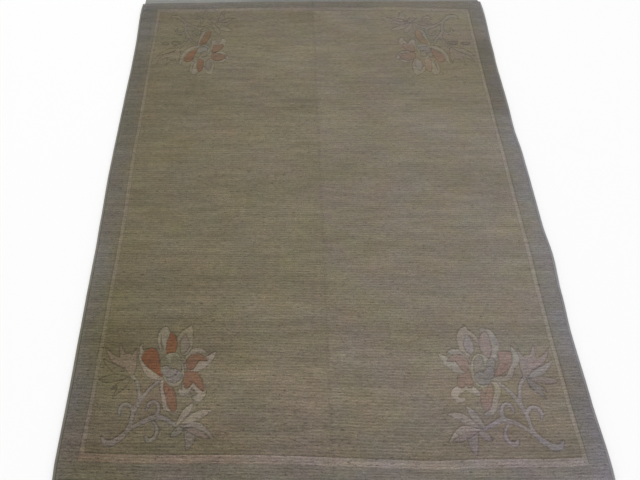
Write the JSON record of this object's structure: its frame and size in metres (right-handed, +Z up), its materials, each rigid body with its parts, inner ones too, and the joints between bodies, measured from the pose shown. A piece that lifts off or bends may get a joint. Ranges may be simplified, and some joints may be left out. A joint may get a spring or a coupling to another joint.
{
  "type": "tibetan rug",
  "caption": "Hand-knotted Tibetan wool rug lying flat, with carved lotus corners, a guard stripe, overcast side cords and flat-woven ends.",
  "frame": {"origin": "middle of the underside, on the floor", "axes": "+X across the width to the right, +Y along the length away from the near end, +Z up out of the pile"},
  "size_m": [1.2356, 1.876, 0.0127],
  "materials": {
    "wool_pile": "matte cut wool pile, olive brown field with a grey brown border",
    "wool_overcast": "matte wool yarn wound over the edge cord"
  },
  "bodies": {
    "root": {"knotted_rug": "wool_pile", "side_cord_left": "wool_overcast", "side_cord_right": "wool_overcast"}
  },
  "joints": []
}
